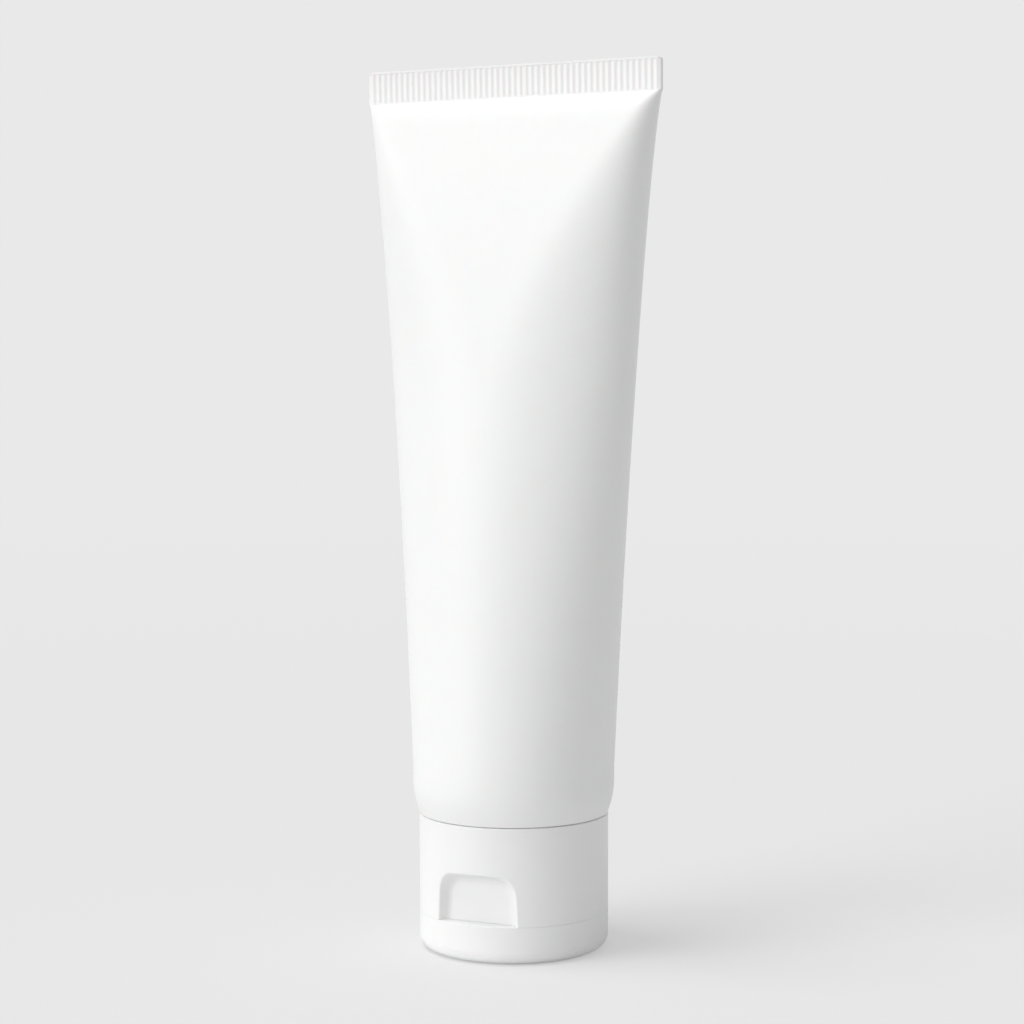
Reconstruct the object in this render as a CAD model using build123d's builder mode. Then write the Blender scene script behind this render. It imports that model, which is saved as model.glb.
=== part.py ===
from build123d import *
import math
import os

# Squeeze tube with a flip-top cap, standing on its cap. Millimetres, +Z up.
# The origin is the middle of the lid's foot. The flat end seal runs along X, the cap's thumb
# recess faces -Y and the lid's hinge strap is at +Y.

# Driving dimensions of the whole tube
overall_height = 130.5
sleeve_radius = 15.0
cap_inset = 0.9
cap_height = 20.1
lid_height = 5.65
parting_gap = 0.02
seat_gap = 0.03
cut_overrun = 1.0

# Sleeve: the film, the round lower stretch, the turned-in foot, the flat end seal and the fold
# creases that run from its ends down the tube's sides
film_wall = 0.45
seam_gap = 0.12
turn_height = 4.9
turn_inset = 0.95
round_length = 2.0
seal_height = 4.8
seal_margin = 0.05
seal_corner_radius = 0.8
crease_length = 8.0
crease_end_depth = 0.15
# The half depth grows as the root of the distance from the seal, a little fuller in the middle,
# and the film's stiffness softens the start.
belly_share = 0.18
stiffness_share = 0.05
section_count = 9

# Ribs pressed into both faces of the seal: round ridges that meet in sharp valleys
rib_pitch = 0.933
rib_depth = 0.21
rib_bottom_margin = 0.15
rib_top_margin = 0.3

# Tube head: the moulded shoulder and neck inside the sleeve's foot
rim_wall = 1.0
rim_rise = 1.18
rim_seat_inset = 0.2
shoulder_wall = 1.35
shoulder_drop = 2.6
neck_radius = 6.0
neck_bore_radius = 4.6
neck_mouth_gap = 0.2
bead_height = 1.2
bead_size = 0.45
bead_top_below_catch = 0.15

# Cap body: collar, deck, inner skirt with its catch, plug ring, spout and register lip
cap_wall = 1.3
deck_thickness = 1.2
collar_edge_round = 0.25
skirt_clearance = 0.1
skirt_wall = 1.1
skirt_height = 8.0
catch_height = 2.4
plug_height = 1.5
plug_wall = 0.8
spout_length = 2.5
spout_bore_radius = 1.6
spout_root_radius = 3.4
spout_tip_radius = 3.1
register_height = 0.9
register_wall = 1.0
register_clearance = 0.15
gusset_count = 6
gusset_thickness = 0.8
gusset_height = 5.0

# Thumb recess in the collar, a pocket with flared sides over the lid's ledge
recess_depth = 2.6
recess_half_width = 5.2
recess_height = 6.5
recess_corner_radius = 2.9
recess_side_angle = 86.0
recess_back_round = 1.2
recess_edge_round = 0.3
recess_side_flare = 1.1
recess_top_flare = 0.35
recess_wall = 1.1

# Flip lid: the cup that the tube stands on, its foot, and what closes the spout
lid_floor = 1.3
foot_round = 1.9
foot_ring_width = 1.2
dish_depth = 0.3
pin_clearance = 0.15
pin_draft = 0.15
pin_reach = 1.7
pin_tip_round = 0.5
ring_clearance = 0.3
ring_wall = 1.0
ring_reach = 0.8

# Hinge strap and the flat lands that carry it at the back
hinge_land_inset = 0.75
hinge_half_width = 4.0
hinge_reach = 1.6
hinge_thickness = 0.4
hinge_film = 0.25
hinge_groove = 0.9
hinge_window = 3.6
land_wall = 1.0
strap_side_gap = 0.05

# Paste: it fills the tube up to a space below the seal
paste_gap = 0.1
paste_skip_count = 3

# Radii and heights that follow from the driving dimensions
cap_radius = sleeve_radius - cap_inset
collar_bore = cap_radius - cap_wall
parting_z = lid_height + parting_gap
hinge_z = lid_height + parting_gap / 2
deck_top = parting_z + deck_thickness
spout_tip = parting_z - spout_length
sleeve_foot = cap_height + seam_gap
turn_top = sleeve_foot + turn_height
round_top = turn_top + round_length
seal_foot = overall_height - seal_height
taper_length = seal_foot - round_top


def half_depth(down_share):
    """Half depth of the sleeve's outside at a share of the way down from the seal to the round."""
    fullness = down_share * (1 + belly_share * (1 - down_share))
    growth = math.sqrt(fullness + stiffness_share**2) - stiffness_share
    full_growth = math.sqrt(1 + stiffness_share**2) - stiffness_share
    return film_wall + (sleeve_radius - film_wall) * growth / full_growth


def half_width(depth):
    """Half width of the ellipse that keeps the round sleeve's girth, by Ramanujan's rule."""
    diameter = 2 * sleeve_radius
    middle = 6 * diameter - 8 * depth
    rest = 6 * depth**2 - 6 * diameter * depth + diameter**2
    return (middle + math.sqrt(middle**2 - 24 * rest)) / 12


def section_share(index):
    """Sections crowd towards the seal, where the depth changes fastest."""
    return (index / section_count) ** 2


def sleeve_sections(first_index, inset):
    """The sleeve's ellipses down to its round stretch, drawn inward of its outside by an inset."""
    sections = []
    for index in range(first_index, section_count):
        share = section_share(index)
        depth = half_depth(share)
        with BuildSketch(Plane.XY.offset(seal_foot - share * taper_length)) as section:
            Ellipse(half_width(depth) - inset, depth - inset)
        sections.append(section.sketch)
    for height in (round_top, turn_top):
        with BuildSketch(Plane.XY.offset(height)) as section:
            Circle(sleeve_radius - inset)
        sections.append(section.sketch)
    return sections


def turn_arc(inset, foot):
    """The turned-in foot's profile, from its lower end up to the round stretch."""
    radius = (turn_height**2 + turn_inset**2) / (2 * turn_inset)
    own_radius = radius - inset
    drop = turn_top - foot
    start_inset = own_radius - math.sqrt(own_radius**2 - drop**2)
    start = (sleeve_radius - inset - start_inset, foot)
    middle_drop = drop / 2
    middle_inset = own_radius - math.sqrt(own_radius**2 - middle_drop**2)
    middle = (sleeve_radius - inset - middle_inset, turn_top - middle_drop)
    return start, middle, (sleeve_radius - inset, turn_top)


# Seal: both films welded flat, a ribbed band between two plain strips, with rounded top corners
seal_half_width = half_width(film_wall) + seal_margin
seal_half_depth = film_wall + seal_margin
rib_count = int(2 * seal_half_width / rib_pitch)
rib_foot = seal_foot + rib_bottom_margin
rib_top = overall_height - rib_top_margin


def seal_slot(height, width, depth):
    """A slot with round ends on a level plane, from its half width and half depth."""
    with BuildSketch(Plane.XY.offset(height)) as slot:
        SlotOverall(2 * width, 2 * depth)
    return slot.sketch


with BuildPart() as end_seal:
    with BuildSketch(Plane.XY.offset(rib_foot)):
        with BuildLine():
            band_end = rib_count * rib_pitch / 2
            valley = seal_half_depth - rib_depth
            for side in (1, -1):
                ThreePointArc(
                    (side * band_end, -valley), (side * seal_half_width, 0), (side * band_end, valley)
                )
                for index in range(rib_count):
                    rib_start = index * rib_pitch - band_end
                    ThreePointArc(
                        (rib_start, side * valley),
                        (rib_start + rib_pitch / 2, side * seal_half_depth),
                        (rib_start + rib_pitch, side * valley),
                    )
        make_face()
    extrude(amount=rib_top - rib_foot)
    extrude(seal_slot(seal_foot, seal_half_width, seal_half_depth), amount=rib_bottom_margin)
    extrude(seal_slot(rib_top, seal_half_width, seal_half_depth), amount=rib_top_margin)
    with BuildSketch(Plane.XZ) as seal_outline:
        with Locations((0, seal_foot + seal_margin)):
            Rectangle(2 * (seal_half_width + seal_margin), 2 * seal_height)
        fillet(seal_outline.vertices().group_by(Axis.Y)[-1], seal_corner_radius)
    extrude(amount=seal_half_depth + cut_overrun, both=True, mode=Mode.INTERSECT)

# Sleeve: a loft of ellipses of one girth with a crease down each side and the seal on top,
# hollowed by the same loft one film wall further in
with BuildPart() as sleeve_cavity:
    loft(sleeve_sections(1, film_wall))

crease_foot_depth = half_depth(crease_length / taper_length)
with BuildPart() as sleeve:
    loft(sleeve_sections(0, 0))
    loft(
        [
            seal_slot(seal_foot, seal_half_width, seal_half_depth),
            seal_slot(
                seal_foot - crease_length, half_width(crease_foot_depth) - film_wall, crease_end_depth
            ),
        ]
    )
    add(end_seal.part)
    add(sleeve_cavity.part, mode=Mode.SUBTRACT)
    outer_start, outer_middle, outer_end = turn_arc(0, sleeve_foot)
    inner_start, inner_middle, inner_end = turn_arc(film_wall, sleeve_foot)
    with BuildSketch(Plane.XZ):
        with BuildLine():
            ThreePointArc(outer_start, outer_middle, outer_end)
            Line(outer_end, inner_end)
            ThreePointArc(inner_end, inner_middle, inner_start)
            Line(inner_start, outer_start)
        make_face()
    revolve(axis=Axis.Z)
sleeve.part.label = "sleeve"

# Tube head: rim inside the sleeve's foot, sloping shoulder and neck, seated on the collar's edge
catch_foot = deck_top + skirt_height - catch_height
bead_top = catch_foot - bead_top_below_catch
neck_mouth = deck_top + neck_mouth_gap
with BuildPart() as tube_head:
    rim_start, rim_middle, rim_end = turn_arc(film_wall + seat_gap, cap_height)
    rim_top = turn_top + rim_rise
    rim_seat_radius = collar_bore - rim_seat_inset
    inner_rim_radius = sleeve_radius - film_wall - seat_gap - rim_wall
    cone_foot = cap_height - shoulder_drop
    with BuildSketch(Plane.XZ):
        with BuildLine():
            ThreePointArc(rim_start, rim_middle, rim_end)
            Polyline(
                rim_end,
                (rim_end[0], rim_top),
                (inner_rim_radius, rim_top),
                (inner_rim_radius, turn_top),
                (inner_rim_radius - turn_inset / 2, cap_height + 2 * shoulder_wall),
                (rim_seat_radius, cap_height + shoulder_wall),
                (neck_bore_radius, cone_foot + shoulder_wall),
                (neck_bore_radius, neck_mouth),
                (neck_radius, neck_mouth),
                (neck_radius, bead_top - bead_height),
                (neck_radius + bead_size, bead_top - bead_height / 2),
                (neck_radius + bead_size, bead_top),
                (neck_radius, bead_top),
                (neck_radius, cone_foot),
                (rim_seat_radius, cap_height),
                rim_start,
            )
        make_face()
    revolve(axis=Axis.Z)
tube_head.part.label = "tube_head"

# Paste: the space inside the sleeve and the head, up to the headspace below the seal
with BuildPart() as adhesive_paste:
    loft(sleeve_sections(paste_skip_count, film_wall + paste_gap))
    inside_rim = inner_rim_radius - paste_gap
    inside_neck = neck_bore_radius - paste_gap
    inside_plug = neck_bore_radius - seat_gap - plug_wall - paste_gap
    plug_clear = deck_top + plug_height + paste_gap
    with BuildSketch(Plane.XZ):
        with BuildLine():
            Polyline(
                (0, neck_mouth),
                (inside_plug, neck_mouth),
                (inside_plug, plug_clear),
                (inside_neck, plug_clear),
                (inside_neck, cone_foot + shoulder_wall + paste_gap),
                (rim_seat_radius - paste_gap, cap_height + shoulder_wall + paste_gap),
                (inside_rim - turn_inset / 2, cap_height + 2 * shoulder_wall + paste_gap),
                (inside_rim, turn_top + paste_gap),
                (inside_rim, rim_top + paste_gap),
                (0, rim_top + paste_gap),
                close=True,
            )
        make_face()
    revolve(axis=Axis.Z)
    # The head's rim takes its own ring out of the round stretch
    with BuildSketch(Plane.XY.offset(cap_height)):
        Circle(sleeve_radius)
        Circle(inside_rim, mode=Mode.SUBTRACT)
    extrude(amount=rim_top + paste_gap - cap_height, mode=Mode.SUBTRACT)
adhesive_paste.part.label = "adhesive_paste"

# Places shared by the collar, the lid and the strap
recess_back = cap_radius - recess_depth
ledge_back = recess_back - register_clearance
hinge_land = cap_radius - hinge_land_inset
strap_bed = hinge_land - hinge_thickness
hinge_land_back = strap_bed - land_wall


def recess_outline(growth, out):
    """The recess's outline at a distance out from its back wall, grown by a wall all round."""
    side = recess_half_width + growth + out * recess_side_flare
    top = recess_height + growth + out * recess_top_flare
    plane = Plane(origin=(0, -recess_back - out, parting_z), x_dir=(1, 0, 0), z_dir=(0, -1, 0))
    with BuildSketch(plane) as outline:
        with Locations((0, (top - cut_overrun) / 2)):
            Trapezoid(2 * side, top + cut_overrun, recess_side_angle)
        fillet(outline.vertices().group_by(Axis.Y)[-1], recess_corner_radius + growth)
    return outline.sketch


def wall_segment(height, chord, radius):
    """A slice of a disc on a level plane: what lies beyond a chord on the hinge's side."""
    with BuildSketch(Plane.XY.offset(height)) as segment:
        Circle(radius)
        with Locations((0, chord - radius)):
            Rectangle(2 * radius, 2 * radius, mode=Mode.SUBTRACT)
    return segment.sketch


def is_on_outside(edge):
    """Whether an edge lies on the cap's cylinder and rises from the parting plane."""
    middle = edge @ 0.5
    on_cylinder = abs(math.hypot(middle.X, middle.Y) - cap_radius) < seat_gap
    return on_cylinder and middle.Z > parting_z + seat_gap


# The strap's bed and window: the room that the hinge takes out of both walls
with BuildPart() as hinge_room:
    with BuildSketch(Plane.XY.offset(hinge_z - hinge_window)):
        with Locations((0, hinge_land + cut_overrun / 2)):
            Rectangle(2 * cap_radius, cut_overrun)
    extrude(amount=2 * hinge_window)
    with BuildSketch(Plane.XY.offset(hinge_z - hinge_reach)):
        with Locations((0, hinge_land)):
            Rectangle(2 * (hinge_half_width + strap_side_gap), 2 * hinge_thickness)
    extrude(amount=2 * hinge_reach)

# Cap body: everything round in one profile, then the pocket, the gussets and the cut-outs
skirt_bore = neck_radius + skirt_clearance
catch_bore = neck_radius + bead_size + skirt_clearance
skirt_outside = catch_bore + skirt_wall
skirt_top = deck_top + skirt_height
plug_outside = neck_bore_radius - seat_gap
plug_bore = plug_outside - plug_wall
register_outside = collar_bore - register_clearance

with BuildPart() as recess_pocket:
    loft([recess_outline(recess_wall, -recess_wall), recess_outline(recess_wall, recess_depth)])
    with BuildSketch(Plane.XY.offset(parting_z)):
        Circle(cap_radius - collar_edge_round)
    extrude(amount=cap_height - parting_z, mode=Mode.INTERSECT)

with BuildPart() as recess_room:
    loft([recess_outline(0, 0), recess_outline(0, recess_depth + cut_overrun)])
    back_edges = recess_room.faces().sort_by(Axis.Y)[-1].edges()
    fillet(back_edges.sort_by(Axis.Z)[1:], recess_back_round)

with BuildPart() as cap_body:
    with BuildSketch(Plane.XZ) as collar_profile:
        with BuildLine():
            Polyline(
                (collar_bore, cap_height),
                (cap_radius, cap_height),
                (cap_radius, parting_z),
                (spout_root_radius, parting_z),
                (spout_tip_radius, spout_tip),
                (spout_bore_radius, spout_tip),
                (spout_bore_radius, deck_top),
                (plug_bore, deck_top),
                (plug_bore, deck_top + plug_height),
                (plug_outside, deck_top + plug_height),
                (plug_outside, deck_top),
                (catch_bore, deck_top),
                (catch_bore, catch_foot),
                (skirt_bore, catch_foot),
                (skirt_bore, skirt_top),
                (skirt_outside, skirt_top),
                (skirt_outside, deck_top),
                (collar_bore, deck_top),
                close=True,
            )
        make_face()
        collar_edge = collar_profile.vertices().group_by(Axis.Y)[-1].sort_by(Axis.X)[-1]
        fillet(collar_edge, collar_edge_round)
    revolve(axis=Axis.Z)

    # The register lip that centres the closed lid, with room for its ledge and its hinge land
    with BuildSketch(Plane.XY.offset(parting_z)):
        Circle(register_outside)
        Circle(register_outside - register_wall, mode=Mode.SUBTRACT)
        with Locations(
            (0, -(ledge_back - register_clearance) - cap_wall),
            (0, hinge_land_back - register_clearance + cap_wall),
        ):
            Rectangle(2 * cap_radius, 2 * cap_wall, mode=Mode.SUBTRACT)
    extrude(amount=-register_height)

    # Gussets between the inner skirt and the collar
    gusset_length = collar_bore - skirt_outside
    with BuildSketch(Plane.XY.offset(deck_top)):
        with PolarLocations(skirt_outside + gusset_length / 2, gusset_count):
            Rectangle(gusset_length + skirt_wall, gusset_thickness)
    extrude(amount=gusset_height)

    # The pocket's walls and the land behind the strap, then what is cut from them
    add(recess_pocket.part)
    extrude(
        wall_segment(parting_z, hinge_land_back, cap_radius - cap_wall / 2),
        amount=hinge_window + land_wall,
    )
    add(recess_room.part, mode=Mode.SUBTRACT)
    mouth_edges = cap_body.edges(Select.LAST).filter_by(is_on_outside)
    fillet(mouth_edges, recess_edge_round)
    add(hinge_room.part, mode=Mode.SUBTRACT)
cap_body.part.label = "cap_body"

# Flip lid: a shallow cup on a ring foot, with the pin and the ring that close the spout
foot_outside = cap_radius - foot_round
foot_inside = foot_outside - foot_ring_width
pin_radius = spout_bore_radius - pin_clearance
ring_bore = spout_root_radius + ring_clearance
pin_tip = spout_tip + pin_reach
ring_top = spout_tip + ring_reach
with BuildPart() as flip_lid:
    with BuildSketch(Plane.XZ) as lid_profile:
        with BuildLine():
            Polyline(
                (0, dish_depth),
                (foot_inside - dish_depth, dish_depth),
                (foot_inside, 0),
                (cap_radius, 0),
                (cap_radius, lid_height),
                (collar_bore, lid_height),
                (collar_bore, lid_floor),
                (ring_bore + ring_wall, lid_floor),
                (ring_bore + ring_wall, ring_top),
                (ring_bore, ring_top),
                (ring_bore, lid_floor),
                (pin_radius, lid_floor),
                (pin_radius - pin_draft, pin_tip),
                (0, pin_tip),
                close=True,
            )
        make_face()
        foot_corner = lid_profile.vertices().group_by(Axis.Y)[0].sort_by(Axis.X)[-1]
        fillet(foot_corner, foot_round)
    revolve(axis=Axis.Z)
    # The ledge for the thumb at the front and the hinge land at the back, flat inside
    extrude(
        wall_segment(lid_floor, hinge_land_back, cap_radius - cap_wall / 2),
        amount=lid_height - lid_floor,
    )
    mirror(
        extrude(
            wall_segment(lid_floor, ledge_back, cap_radius - cap_wall / 2),
            amount=lid_height - lid_floor,
            mode=Mode.PRIVATE,
        ),
        about=Plane.XZ,
    )
    pin_tip_edge = flip_lid.edges().filter_by(GeomType.CIRCLE).group_by(SortBy.RADIUS)[0]
    fillet(pin_tip_edge, pin_tip_round)
    add(hinge_room.part, mode=Mode.SUBTRACT)
flip_lid.part.label = "flip_lid"

# Hinge strap: flat outside, thinned to a film by a groove on its inner side at the parting line
with BuildPart() as hinge_strap:
    with BuildSketch(Plane.YZ.offset(-hinge_half_width)):
        with Locations((strap_bed + hinge_thickness / 2, hinge_z)):
            Rectangle(hinge_thickness, 2 * hinge_reach)
        with Locations((strap_bed, hinge_z)):
            Ellipse(hinge_thickness - hinge_film, hinge_groove / 2, mode=Mode.SUBTRACT)
    extrude(amount=2 * hinge_half_width)
hinge_strap.part.label = "hinge_strap"

os.makedirs("parts", exist_ok=True)
for piece in (sleeve, tube_head, adhesive_paste, cap_body, flip_lid, hinge_strap):
    export_step(piece.part, f"parts/{piece.part.label}.step")
    print(piece.part.label, round(piece.part.volume, 1), "cubic millimetres")
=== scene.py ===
# %% [markdown]
# # A denture adhesive tube that stands on its flip-top cap
# The object is a soft white plastic tube, pressed flat at the top into a ribbed seal, with a
# moulded flip-top cap below. Its pieces come ready from the packed part, at their real size. They
# could all be modelled again here, but the packed ones already fit each other and move on their
# joint. So this script gives them their plastics, remakes only the two soft ones, which are the
# sleeve and the hinge strap, and sets up a plain studio. Lengths are in metres, apart from the
# camera's lens and sensor, which are in millimetres.

# %% Load the packed part
import math

import bpy
import bmesh
import numpy as np
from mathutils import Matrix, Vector


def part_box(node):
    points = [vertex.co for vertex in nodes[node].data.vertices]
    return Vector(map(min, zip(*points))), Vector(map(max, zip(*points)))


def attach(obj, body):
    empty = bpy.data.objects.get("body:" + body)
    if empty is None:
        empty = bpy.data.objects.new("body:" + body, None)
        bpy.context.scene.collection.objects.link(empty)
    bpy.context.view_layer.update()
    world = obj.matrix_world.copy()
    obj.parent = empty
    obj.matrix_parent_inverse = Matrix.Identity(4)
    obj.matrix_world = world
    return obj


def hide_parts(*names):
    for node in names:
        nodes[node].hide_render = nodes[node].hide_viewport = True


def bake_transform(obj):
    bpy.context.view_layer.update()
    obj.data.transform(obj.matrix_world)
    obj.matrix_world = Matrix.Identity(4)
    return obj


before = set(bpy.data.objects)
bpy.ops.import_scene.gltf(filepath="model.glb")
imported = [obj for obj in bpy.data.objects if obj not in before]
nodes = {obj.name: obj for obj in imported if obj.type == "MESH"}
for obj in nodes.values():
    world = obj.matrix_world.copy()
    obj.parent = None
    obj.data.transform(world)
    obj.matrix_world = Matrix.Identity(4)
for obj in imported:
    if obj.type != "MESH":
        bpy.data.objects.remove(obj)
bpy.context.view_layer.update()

print("pieces of the frame:", sorted(nodes))

# %% [markdown]
# ## The camera
# The photograph looks at the tube from a little to the right of its recess and slightly above,
# from close by: the tube's vertical edges draw together towards its foot. A camera could be
# aimed with a Track To constraint, but a plain place and three angles are easier to read and to
# change, so it stands on a circle round the tube's axis and is turned by a heading, a pitch and a
# very small roll.

# %% Place the camera
camera_distance = 0.3519
camera_bearing = math.radians(24.904)
camera_height = 0.08766
camera_heading = math.radians(24.923)
camera_pitch = math.radians(3.713)
camera_roll = math.radians(0.136)
lens_length = 83.58
sensor_width = 36.0
nearest_seen = 0.01


def add_object(name, data):
    """Put data, such as a mesh or a lamp, into the scene as an object."""
    made = bpy.data.objects.new(name, data)
    bpy.context.collection.objects.link(made)
    return made


lens = bpy.data.cameras.new("studio_camera")
lens.lens = lens_length
lens.sensor_width = sensor_width
lens.clip_start = nearest_seen
camera = add_object("studio_camera", lens)
camera.location = (
    camera_distance * math.sin(camera_bearing),
    -camera_distance * math.cos(camera_bearing),
    camera_height,
)
camera.rotation_euler = (math.pi / 2 - camera_pitch, camera_roll, camera_heading)
bpy.context.scene.camera = camera
bpy.context.scene.view_settings.view_transform = "Standard"
print("camera at", [round(x, 4) for x in camera.location])

# %% [markdown]
# ## Writing shader maths as plain expressions
# A material is a tree of nodes. Adding and wiring each Math node by hand is long and hard to
# read, so a small class stands for an output socket and overloads the arithmetic operators:
# `mask * 0.2 + 1` then adds two Math nodes by itself.


# %% Sockets that do arithmetic
class Value:
    """An output socket with a number in it. Each operator on it adds one Math node."""

    def __init__(self, maker, socket):
        self.maker = maker
        self.socket = socket

    def math(self, operation, *values):
        inputs = dict(enumerate(values))
        return self.maker.node("ShaderNodeMath", {"operation": operation}, inputs)

    def __add__(self, other):
        return self.math("ADD", self, other)

    def __sub__(self, other):
        return self.math("SUBTRACT", self, other)

    def __rsub__(self, other):
        return self.math("SUBTRACT", other, self)

    def __mul__(self, other):
        return self.math("MULTIPLY", self, other)

    def __truediv__(self, other):
        return self.math("DIVIDE", self, other)

    def __rtruediv__(self, other):
        return self.math("DIVIDE", other, self)

    def limited(self):
        """The same value, held between 0 and 1."""
        return self.math("MINIMUM", self.math("MAXIMUM", self, 0.0), 1.0)

    __radd__ = __add__
    __rmul__ = __mul__


print("a Value adds a Math node for each +, -, * and /, on either side of it")

# %% [markdown]
# ## One method that adds any node
# A second class holds the nodes of one material, or of the world. They could be wired one by one
# in the shader editor, but a script is easier to read again and to change in one place. Its
# method `node` adds any node, with its settings first and its inputs after them.


# %% The nodes of a material or of the world
class Tree:
    """The nodes of a material or of the world, added with plain calls."""

    def __init__(self, owner):
        owner.use_nodes = True
        self.owner = owner
        self.nodes = owner.node_tree.nodes
        self.links = owner.node_tree.links

    def put(self, socket, value):
        """Link a value made here into a socket, or write a number or colour into it."""
        if isinstance(value, Value):
            self.links.new(value.socket, socket)
        else:
            socket.default_value = value

    def node(self, kind, settings=None, inputs=None, output=0):
        """Add a node: its settings first, then its inputs by name or number."""
        made = self.nodes.new(kind)
        for name, value in (settings or {}).items():
            setattr(made, name, value)
        for name, value in (inputs or {}).items():
            self.put(made.inputs[name], value)
        return Value(self, made.outputs[output])

    def between(self, factor, first, second):
        """A blend of two shaders."""
        return self.node("ShaderNodeMixShader", inputs={0: factor, 1: first, 2: second})


print("a Tree can:", [name for name in vars(Tree) if not name.startswith("_")])

# %% [markdown]
# ## Words for a plastic
# A plastic needs few things: the place on the object, noise, a blend of two colours and a small
# relief. Each material could add these nodes itself, but a short method for each keeps the
# materials to a few lines. Several sockets of the Mix node have the same name, so its colours are
# found by their numbers.

# %% What a plastic is made from
mix_first, mix_second, mix_result = 6, 7, 2


class Finish(Tree):
    """A material with a Principled shader."""

    def __init__(self, name):
        super().__init__(bpy.data.materials.new(name))

    def place(self):
        """The point being shaded, in the object's own frame."""
        return self.node("ShaderNodeTexCoord", output="Object")

    def stretched(self, scales):
        """The place multiplied along each axis, so that a texture's grain runs in a direction."""
        inputs = {0: self.place(), 1: scales}
        return self.node("ShaderNodeVectorMath", {"operation": "MULTIPLY"}, inputs)

    def noise(self, where, scale, detail=2.0):
        """Smooth noise about 0.5, with its largest features one over scale across."""
        inputs = {"Vector": where, "Scale": scale, "Detail": detail}
        return self.node("ShaderNodeTexNoise", {"noise_dimensions": "3D"}, inputs)

    def mix(self, factor, first, second):
        """A blend of two colours."""
        inputs = {"Factor": factor, mix_first: first, mix_second: second}
        return self.node("ShaderNodeMix", {"data_type": "RGBA"}, inputs, mix_result)

    def bump(self, height, distance, strength):
        """Small relief: the height, times the distance, turns the normal."""
        inputs = {"Height": height, "Distance": distance, "Strength": strength}
        return self.node("ShaderNodeBump", inputs=inputs)

    def surface(self, **sockets):
        """Set the Principled shader's sockets; a name's underscore stands for a space."""
        shader = self.nodes["Principled BSDF"]
        for name, value in sockets.items():
            self.put(shader.inputs[name.replace("_", " ")], value)
        return Value(self, shader.outputs["BSDF"])


print("a Finish can also:", [name for name in vars(Finish) if not name.startswith("_")])

# %% [markdown]
# ## The sleeve's film
# The sleeve is extruded polyethylene about half a millimetre thick: satin, a touch translucent,
# with faint streaks along the tube from the extruder and a very fine pebble from the cooling
# rolls. The streaks could be painted on, but noise that is stretched along Z gives them at any
# size. They steer roughness and colour by a percent or two, and a fine noise gives the relief.


# %% Satin polyethylene film
def grey(level, warmth=0.0):
    """A linear grey; warmth takes a little off the blue."""
    return (level, level * (1 - warmth / 2), level * (1 - warmth), 1)


noise_middle = 0.5
film_shades = grey(0.86, 0.004), grey(0.885, 0.002)
film_roughness = 0.42
streak_scales = (900, 900, 25)
streak_share = 0.35
streak_roughness = 0.10
mottle_scale = 90.0
mottle_roughness = 0.06
pebble_scale = 2600.0
pebble_height = 0.000012


def sleeve_film():
    finish = Finish("sleeve_film")
    streaks = finish.noise(finish.stretched(streak_scales), scale=1.0)
    mottle = finish.noise(finish.place(), mottle_scale)
    pebble = finish.noise(finish.place(), pebble_scale, detail=1.0)
    shade = (streaks * streak_share + mottle * (1 - streak_share)).limited()
    streaked = (streaks - noise_middle) * streak_roughness
    mottled = (mottle - noise_middle) * mottle_roughness
    finish.surface(
        Base_Color=finish.mix(shade, *film_shades),
        Roughness=film_roughness + streaked + mottled,
        Normal=finish.bump(pebble, pebble_height, strength=0.6),
        IOR=1.5,
        Subsurface_Weight=0.08,
        Subsurface_Scale=0.0008,
    )
    return finish.owner


film_finish = sleeve_film()
print("the film's material has", len(film_finish.node_tree.nodes), "nodes")

# %% [markdown]
# ## The cap's moulded plastic
# Cap and lid are injection-moulded polypropylene, a little smoother than the film. A mould leaves
# a soft, even texture with slow waves where the plastic shrank over the walls behind it. A
# picture of such a texture could be wrapped round the cap, but it would show where its edges
# meet. Noise in the object's own space has no edges and goes round every corner.

# %% Moulded polypropylene
cap_shades = grey(0.85), grey(0.875)
cap_roughness = 0.36
wave_scale = 160.0
wave_roughness = 0.08
grain_scale = 3200.0
grain_height = 0.000008


def cap_plastic():
    finish = Finish("cap_plastic")
    waves = finish.noise(finish.place(), wave_scale)
    grain = finish.noise(finish.place(), grain_scale, detail=1.0)
    finish.surface(
        Base_Color=finish.mix(waves, *cap_shades),
        Roughness=cap_roughness + (waves - noise_middle) * wave_roughness,
        Normal=finish.bump(grain, grain_height, strength=0.5),
        IOR=1.49,
        Subsurface_Weight=0.06,
        Subsurface_Scale=0.0006,
    )
    return finish.owner


cap_finish = cap_plastic()
print("the cap's material has", len(cap_finish.node_tree.nodes), "nodes")

# %% [markdown]
# ## The head and the paste
# The head is natural polyethylene, slightly milkier than the film. The paste is a thick pink
# cream that fills the tube and shows only at the bottom of the spout when the lid is open. The
# light could be traced through both as through wax, but so little of them is seen that a weak
# scattering under the surface is enough.

# %% Natural polyethylene and pink cream
head_shades = grey(0.78, 0.02), grey(0.82, 0.015)
head_roughness = 0.45
head_wave_scale = 120.0
head_wave_roughness = 0.1
pale_pink = (0.86, 0.56, 0.53, 1)
deep_pink = (0.82, 0.47, 0.45, 1)
paste_roughness = 0.3
lump_scale = 700.0
lump_height = 0.0002
lump_roughness = 0.15


def head_plastic():
    finish = Finish("head_plastic")
    waves = finish.noise(finish.place(), head_wave_scale)
    finish.surface(
        Base_Color=finish.mix(waves, *head_shades),
        Roughness=head_roughness + (waves - noise_middle) * head_wave_roughness,
        Subsurface_Weight=0.2,
        Subsurface_Scale=0.001,
    )
    return finish.owner


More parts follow.
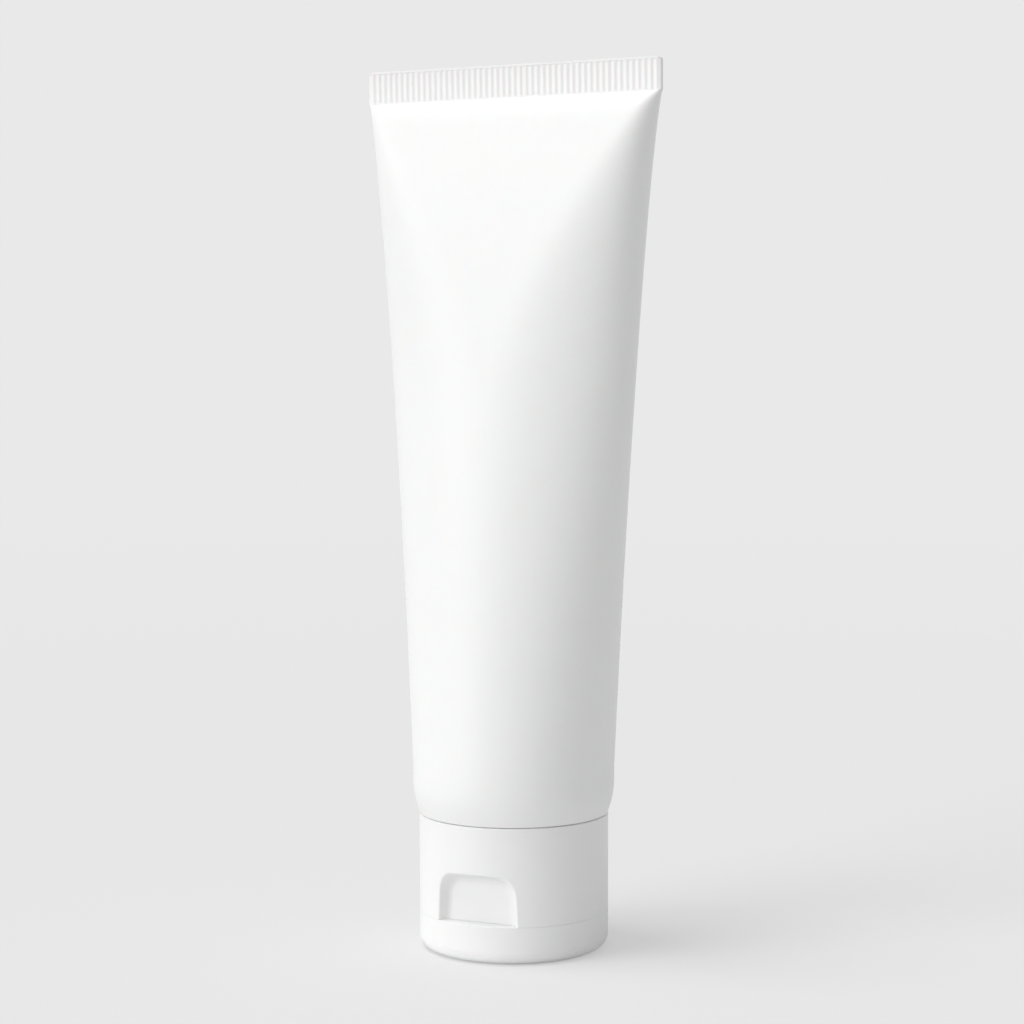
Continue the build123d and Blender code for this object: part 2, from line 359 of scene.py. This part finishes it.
def paste_cream():
    finish = Finish("paste")
    lumps = finish.noise(finish.place(), lump_scale, detail=3.0)
    finish.surface(
        Base_Color=finish.mix(lumps, pale_pink, deep_pink),
        Roughness=paste_roughness + lumps * lump_roughness,
        Normal=finish.bump(lumps, lump_height, strength=0.5),
        Subsurface_Weight=0.3,
        Subsurface_Scale=0.001,
    )
    return finish.owner


head_finish = head_plastic()
paste_finish = paste_cream()
print("the other two materials are", head_finish.name, "and", paste_finish.name)

# %% [markdown]
# ## Which piece is which plastic
# The packed pieces come with plain colours. Each could be given its material by hand, but a table
# by the pieces' names is easier to check. Collar and lid are one moulding, so they share one
# material, and the strap between them gets it too when it is made.

# %% Give each piece its plastic
finishes = {
    "sleeve": film_finish,
    "tube_head": head_finish,
    "adhesive_paste": paste_finish,
    "cap_body": cap_finish,
    "flip_lid": cap_finish,
}
for name, material in finishes.items():
    mesh = nodes[name].data
    mesh.materials.clear()
    mesh.materials.append(material)
    print(name, "is", material.name, "with", len(mesh.polygons), "faces")

# %% [markdown]
# ## The sleeve's section
# The real sleeve is one soft film. The packed solid has elliptic sections, which turn sharply at
# the sides. A film that is pressed flat stays flat in the middle and turns over a broad fold on
# each side, and both folds start as a point at the seal's corner. It could be simulated as cloth
# between two jaws, but a formula gives the same form each time and keeps the solid's depth. Both
# forms are written by the direction that the surface faces, so a blend of the two is smooth: the
# slot with round ends is right at the top, and the solid's own ellipse lower down. Both look
# equally wide to the camera.

# %% Slots that turn into ellipses
film_wall = 0.00045
sleeve_radius = 0.015
belly_share = 0.18
stiffness_share = 0.05
ellipse_from_share = 0.5
curve_points = 721
zero_decimals = 6


def half_depth(down_share):
    """The solid's half depth at a share of the way down from the seal to the round stretch.

    It grows about as the root of that share. The belly makes it fuller half way down, and the
    film's stiffness makes it start less steeply at the seal.
    """
    fullness = down_share * (1 + belly_share * (1 - down_share))
    growth = math.sqrt(fullness + stiffness_share**2) - stiffness_share
    full_growth = math.sqrt(1 + stiffness_share**2) - stiffness_share
    return film_wall + (sleeve_radius - film_wall) * growth / full_growth


def half_width(depth):
    """Half width of the ellipse that keeps the round sleeve's girth.

    A close formula for the girth of an ellipse is pi times the difference of 3 (width + depth)
    and the root of (3 width + depth) (width + 3 depth), in half widths. Set equal to the round
    sleeve's girth, it is a quadratic equation in the width, and this is its larger root.
    """
    diameter = 2 * sleeve_radius
    middle = 6 * diameter - 8 * depth
    rest = 6 * depth**2 - 6 * diameter * depth + diameter**2
    return (middle + math.sqrt(middle**2 - 24 * rest)) / 12


def outline(width, depth, roundness, inset=0.0):
    """A closed curve round the tube: roundness 0 is the slot, and 1 the ellipse."""
    facing = np.linspace(0, 2 * math.pi, curve_points)
    across, along = np.cos(facing), np.sin(facing)
    # In the middle of a face the cosine is a tiny number, which has to count as zero.
    side = np.sign(np.round(across, zero_decimals))
    reach = np.hypot(width * across, depth * along)
    seen_width = math.hypot(width * math.cos(camera_bearing), depth * math.sin(camera_bearing))
    flat = (seen_width - depth) / math.cos(camera_bearing)
    slot_x = flat * side + depth * across
    x = (1 - roundness) * slot_x + roundness * width**2 * across / reach
    y = (1 - roundness) * depth * along + roundness * depth**2 * along / reach
    return x - inset * across, y - inset * along


def film_outline(down_share, inset=0.0):
    """The film's curve at a share of the way down, with an even start and end to the change."""
    depth = half_depth(down_share)
    step = min(down_share / ellipse_from_share, 1)
    return outline(half_width(depth), depth, step**2 * (3 - 2 * step), inset)


half_sizes = [round(max(side), 4) for side in film_outline(down_share=0.5)]
print("half way down, the film's half width and half depth are", half_sizes)

# %% [markdown]
# ## The ribbed seal
# Hot jaws press both films together and leave fine upright ribs. They could be drawn by a bump
# map, but then the mesh would be smooth where the real seal isn't. Here every level ring round
# the seal has the same number of points, some to every rib, so that one ring can follow the ribs
# and the next one a plain strip.

# %% Points of one ring
seal_height = 0.0048
seal_half_depth = 0.0005
rib_count = 50
rib_pitch = 0.000933
rib_depth = 0.00012
rib_points = 6
end_points = 6

sleeve_low, sleeve_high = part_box("sleeve")
seal_foot = sleeve_high.z - seal_height
seal_half_width = sleeve_high.x
valley = seal_half_depth - rib_depth
band_end = rib_count * rib_pitch / 2

# The end of the seal is a quarter turn, from its tip to where the ribs begin.
end_turn = np.linspace(0, math.pi / 2, end_points + 1)[:-1]
end_x = band_end + (seal_half_width - band_end) * np.cos(end_turn)
end_y = valley * np.sin(end_turn)

# The face has one smooth ridge to each rib.
face_x = np.linspace(band_end, -band_end, rib_count * rib_points + 1)
ridge = valley + rib_depth * np.sin(math.pi * (face_x + band_end) / rib_pitch) ** 2

# Half a ring is an end, a face and the other end, either ribbed or plain with round ends.
half_x = np.concatenate((end_x, face_x, -end_x[:0:-1]))
half_ribbed = np.concatenate((end_y, ridge, end_y[:0:-1]))
beyond = np.maximum(np.abs(half_x) - (seal_half_width - seal_half_depth), 0)
half_plain = np.sqrt(np.maximum(seal_half_depth**2 - beyond**2, 0))

# The other half is the same, turned by half a turn.
ring_x = np.concatenate((half_x, -half_x))
ribbed_y = np.concatenate((half_ribbed, -half_ribbed))
plain_y = np.concatenate((half_plain, -half_plain))
print("each ring has", len(ring_x), "points,", rib_points, "to a rib")

# %% [markdown]
# ## The seal's rings
# The jaws leave a plain edge above the ribs and a narrow one below them, and the corners of the
# top are rounded so that they don't scratch. The corners could be cut off a finished block, but
# it is simpler to draw each ring in to the width that its corner leaves. Where the ribs start and
# end, two rings close together let them run out.

# %% Rings from the seal's top to its foot
seal_corner_radius = 0.0008
corner_rings = 9
rib_bottom_margin = 0.00015
rib_top_margin = 0.0003
rib_run_out = 0.00006
corner_foot = sleeve_high.z - seal_corner_radius


def seal_ring(height, y):
    """A ring of the seal, cut to the rounded corners of its top."""
    above = max(height - corner_foot, 0)
    cut = seal_corner_radius - math.sqrt(seal_corner_radius**2 - above**2)
    limit = seal_half_width - cut
    return np.column_stack((np.clip(ring_x, -limit, limit), y, np.full(len(y), height)))


rib_foot = seal_foot + rib_bottom_margin
rib_top = sleeve_high.z - rib_top_margin
rib_full = rib_top - rib_run_out
corner_heights = np.linspace(sleeve_high.z, corner_foot, corner_rings)
seal_rings = [seal_ring(height, plain_y) for height in corner_heights if height > rib_top]
seal_rings += [seal_ring(rib_top, plain_y), seal_ring(rib_full, ribbed_y)]
seal_rings += [seal_ring(height, ribbed_y) for height in corner_heights if height < rib_full]
seal_rings.append(seal_ring(rib_foot + rib_run_out, ribbed_y))
seal_rings += [seal_ring(rib_foot, plain_y), seal_ring(seal_foot, plain_y)]
print("the seal has", len(seal_rings), "rings")

# %% [markdown]
# ## The sleeve's skin
# Below the seal the film opens into the round tube, and its foot is turned in over the head. A
# modelled tube could be bent and scaled into this form, but rings that follow the section's
# formula hit it exactly. Every ring takes its points at the same shares of its girth, so that
# the points below each other lie as on a line drawn along the real film. The rings go down the
# outside, round the turned-in foot, which is an arc that starts upright, and up the inside, so
# that the sleeve is a closed wall like the solid.

# %% Rings down the film and back up inside it
turn_height = 0.0049
turn_inset = 0.00095
round_length = 0.002
film_rows = 60
row_crowding = 1.5
cavity_rows = 8
turn_rows = 8
cavity_start_share = 0.0124

closed_x, closed_y = np.append(ring_x, ring_x[0]), np.append(plain_y, plain_y[0])
girth = np.cumsum(np.hypot(np.diff(closed_x), np.diff(closed_y)))
girth_shares = np.concatenate(([0], girth[:-1])) / girth[-1]
turn_top = sleeve_low.z + turn_height
round_top = turn_top + round_length
taper_length = seal_foot - round_top
turn_radius = (turn_height**2 + turn_inset**2) / (2 * turn_inset)


def film_ring(height, curve):
    """The ring's points, at their shares of the length of a closed curve."""
    x, y = curve
    length = np.concatenate(([0], np.cumsum(np.hypot(np.diff(x), np.diff(y)))))
    share = length / length[-1]
    points = np.interp(girth_shares, share, x), np.interp(girth_shares, share, y)
    return np.column_stack((*points, np.full(len(girth_shares), height)))


def turned_ring(height, inset):
    """A round ring of the turned-in foot."""
    own_radius = turn_radius - inset
    drop = turn_top - height
    radius = sleeve_radius - turn_radius + math.sqrt(own_radius**2 - drop**2)
    return film_ring(height, outline(radius, radius, roundness=1))


def wall_rings(shares, inset):
    """The rings of one face of the wall, from the first share down to the foot."""
    down = [film_ring(seal_foot - share * taper_length, film_outline(share, inset))
            for share in shares]
    heights = np.linspace(turn_top, sleeve_low.z, turn_rows + 1)
    return down + [turned_ring(height, inset) for height in heights]


row_shares = (np.arange(1, film_rows + 1) / film_rows) ** row_crowding
outside = wall_rings(row_shares, inset=0.0)
inside = wall_rings(np.linspace(cavity_start_share, 1, cavity_rows), inset=film_wall)
sleeve_rings = seal_rings + outside + inside[::-1]
print("the sleeve has", len(sleeve_rings), "rings, the film's closest together below the seal")

# %% [markdown]
# ## The sleeve as one mesh
# The seal and the film are one piece of plastic, so they are one mesh. It could be made in parts
# and joined, but a mesh can be built from one list of points and one list of faces. Each pair of
# neighbouring rings is joined by quads, and the first and last rings are closed by one face each.
# Smooth shading stops at edges that are sharper than a set angle.


# %% Join the rings
def add_rings(name, rings, material):
    """A closed piece from level rings: the top one first, each anticlockwise from above."""
    count = len(rings[0])
    faces = [list(range(count))]
    for row in range(len(rings) - 1):
        upper, lower = row * count, (row + 1) * count
        for index in range(count):
            after = (index + 1) % count
            faces.append((upper + index, lower + index, lower + after, upper + after))
    last = (len(rings) - 1) * count
    faces.append([last + index for index in reversed(range(count))])
    mesh = bpy.data.meshes.new(name)
    mesh.from_pydata(np.concatenate(rings).tolist(), [], faces)
    mesh.materials.append(material)
    return add_object(name, mesh)


sharp_angle = math.radians(40)
sleeve = add_rings("film_sleeve", sleeve_rings, film_finish)
sleeve.data.shade_smooth()
sleeve.data.set_sharp_from_angle(angle=sharp_angle)
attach(sleeve, "tube")
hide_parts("sleeve")
print("the sleeve's mesh has", len(sleeve.data.polygons), "faces")

# %% [markdown] ## The hinge strap The strap is one thin moulded strip, thinned to a film where
# it bends. The packed solid is rigid, so a fine mesh takes its place, built from rings as the
# sleeve is. The rows are evenly spaced and close, so that several of them lie in the groove.

# %% Strap with rows across its bend
strap_low, strap_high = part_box("hinge_strap")
strap_middle = (strap_low.z + strap_high.z) / 2
strap_rows = 48
groove_half = 0.00045
film_thickness = 0.00025


def strap_thickness(height):
    """Full thickness, thinned to a film by an elliptic groove about the bend."""
    full = strap_high.y - strap_low.y
    share = (height - strap_middle) / groove_half
    if abs(share) >= 1:
        return full
    return full - (full - film_thickness) * math.sqrt(1 - share**2)


def strap_ring(height):
    """The four corners of one level row, with the groove on the inner side."""
    inner = strap_high.y - strap_thickness(height)
    return (
        (strap_low.x, inner, height), (strap_high.x, inner, height),
        (strap_high.x, strap_high.y, height), (strap_low.x, strap_high.y, height),
    )


strap_heights = np.linspace(strap_high.z, strap_low.z, strap_rows + 1)
strap = add_rings("strap", [strap_ring(height) for height in strap_heights], cap_finish)
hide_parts("hinge_strap")
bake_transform(strap)
print("strap has", len(strap.data.polygons), "faces over", strap_rows, "rows")

# %% [markdown]
# ## The studio
# The photograph has one even pale grey all round. A curved backdrop would need a light of its
# own, so the world shows that grey to the camera and in reflections, and lights the tube at the
# lower level of a pale room.

# %% Backdrop and room light
backdrop_grey = 0.815
room_level = 0.465
seen_rays = ("Is Camera Ray", "Is Glossy Ray", "Is Transmission Ray")


def make_world():
    """The room lights the tube at its own level, and is seen as the backdrop's grey."""
    room = Tree(bpy.data.worlds.new("studio"))
    shown = room.node("ShaderNodeBackground", inputs={"Color": grey(room_level)})
    for ray in seen_rays:
        seen = room.node("ShaderNodeLightPath", output=ray)
        backdrop = room.node("ShaderNodeBackground", inputs={"Color": grey(backdrop_grey)})
        shown = room.between(seen, shown, backdrop)
    room.put(room.nodes["World Output"].inputs["Surface"], shown)
    bpy.context.scene.world = room.owner


make_world()
print("the room lights at", room_level, "and is seen at", backdrop_grey)

# %% [markdown]
# ## The lamps
# On the round tube the photograph's light falls off smoothly from the left edge to beyond the
# middle, then stays level, and a soft shadow lies on the floor to the right. That is a broad light
# in front on the left, with two smaller ones higher up on that side. Soft boxes near the tube
# would light the floor unevenly, so all three are wide suns, which are as soft and leave it even.


# %% Three wide, soft suns
def sun(name, bearing, elevation, angle, strength):
    """A far lamp, at a bearing to the left of the camera's own and an elevation, in degrees."""
    light = bpy.data.lights.new(name, "SUN")
    light.angle = math.radians(angle)
    light.energy = strength
    heading = camera_bearing - math.radians(bearing)
    rise = math.radians(elevation)
    towards = Vector((
        math.sin(heading) * math.cos(rise), -math.cos(heading) * math.cos(rise), math.sin(rise)
    ))
    add_object(name, light).rotation_euler = towards.to_track_quat("Z", "Y").to_euler()
    print(name, "comes from", [round(x, 2) for x in towards], "at a strength of", strength)


sun("front_left", bearing=60, elevation=20, angle=40, strength=1.24)
sun("high_left", bearing=60, elevation=60, angle=20, strength=0.315)
sun("overhead", bearing=90, elevation=75, angle=20, strength=0.95)

# %% [markdown]
# ## The floor
# The tube stands on a table in the backdrop's own grey. A curved sheet could lead the floor up
# into the backdrop, but it is simpler to let a disc fade out into it. To the camera and in
# reflections, half of the disc's grey is a glow of its own and half is the lamps' light, so that
# it meets the backdrop's grey and shows the shadow as faintly as the photograph does. For all
# other light it is plain and pale.

# %% Floor that ends in the backdrop
floor_radius = 1.5
floor_sides = 96
floor_fade_start = 0.25
floor_fade_end = 0.9
floor_bounce = 0.8
floor_seen = 0.398
floor_glow = 0.407


def floor_finish():
    """Pale and matt, see-through far from the tube, and of another grey where it is seen."""
    finish = Finish("floor")
    distance = finish.node(
        "ShaderNodeVectorMath", {"operation": "LENGTH"}, {0: finish.place()}, "Value"
    )
    fade = ((distance - floor_fade_start) / (floor_fade_end - floor_fade_start)).limited()
    seen = sum(finish.node("ShaderNodeLightPath", output=ray) for ray in seen_rays)
    lit = finish.surface(
        Base_Color=finish.mix(seen, grey(floor_bounce), grey(floor_seen)),
        Emission_Color=finish.mix(seen, grey(0.0), grey(floor_glow)),
        Emission_Strength=1.0,
        Roughness=1.0,
        Specular_IOR_Level=0.0,
    )
    faded = finish.between(fade, lit, finish.node("ShaderNodeBsdfTransparent"))
    finish.put(finish.nodes["Material Output"].inputs["Surface"], faded)
    return finish.owner


def make_floor():
    mesh = bpy.data.meshes.new("floor")
    shape = bmesh.new()
    bmesh.ops.create_circle(shape, cap_ends=True, segments=floor_sides, radius=floor_radius)
    shape.to_mesh(mesh)
    shape.free()
    mesh.materials.append(floor_finish())
    floor = add_object("floor", mesh)


make_floor()
print("the floor fades out between", floor_fade_start, "and", floor_fade_end, "from the tube")

# %% [markdown]
